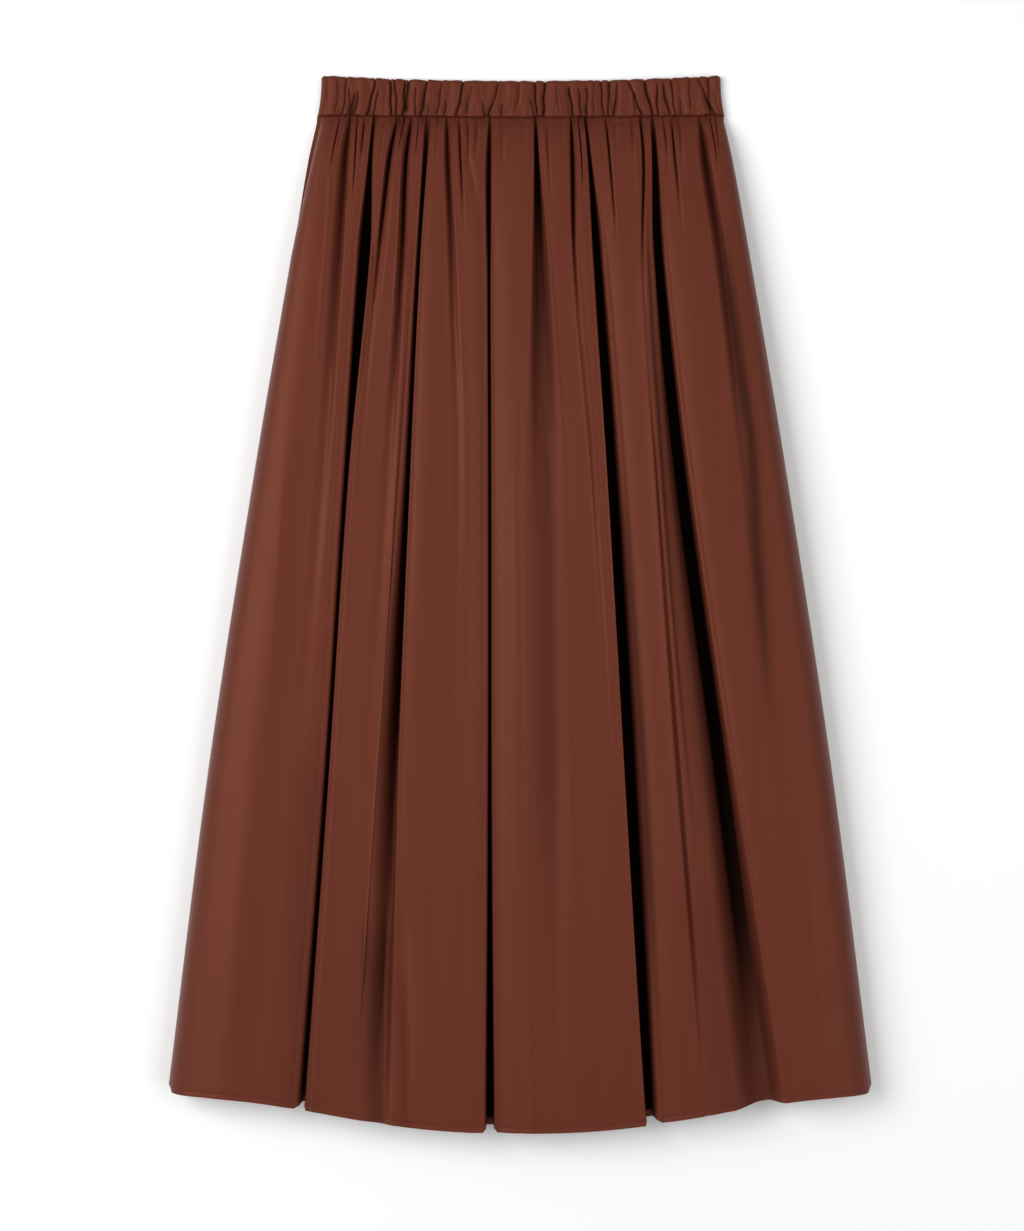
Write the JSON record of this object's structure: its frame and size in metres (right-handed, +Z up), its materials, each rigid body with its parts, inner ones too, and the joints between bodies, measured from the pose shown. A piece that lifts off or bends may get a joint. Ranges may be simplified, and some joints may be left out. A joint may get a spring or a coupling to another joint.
{
  "type": "gathered skirt",
  "caption": "Long A-line skirt of smooth cloth lying flat, its fullness gathered by a ruched elastic waistband and falling in soft deep folds to a narrow hem.",
  "frame": {"origin": "middle of the skirt's outline, on the surface the skirt lies on", "axes": "+Y towards the waist, +Z up out of the front of the skirt, +X towards the right of the skirt as seen from above"},
  "size_m": [0.5875, 0.8728, 0.0444],
  "materials": {
    "taffeta": "smooth plain-woven cloth with a soft sheen"
  },
  "bodies": {
    "root": {"front_panel": "taffeta", "back_panel": "taffeta", "waistband_front": "taffeta", "waistband_back": "taffeta"}
  },
  "joints": []
}
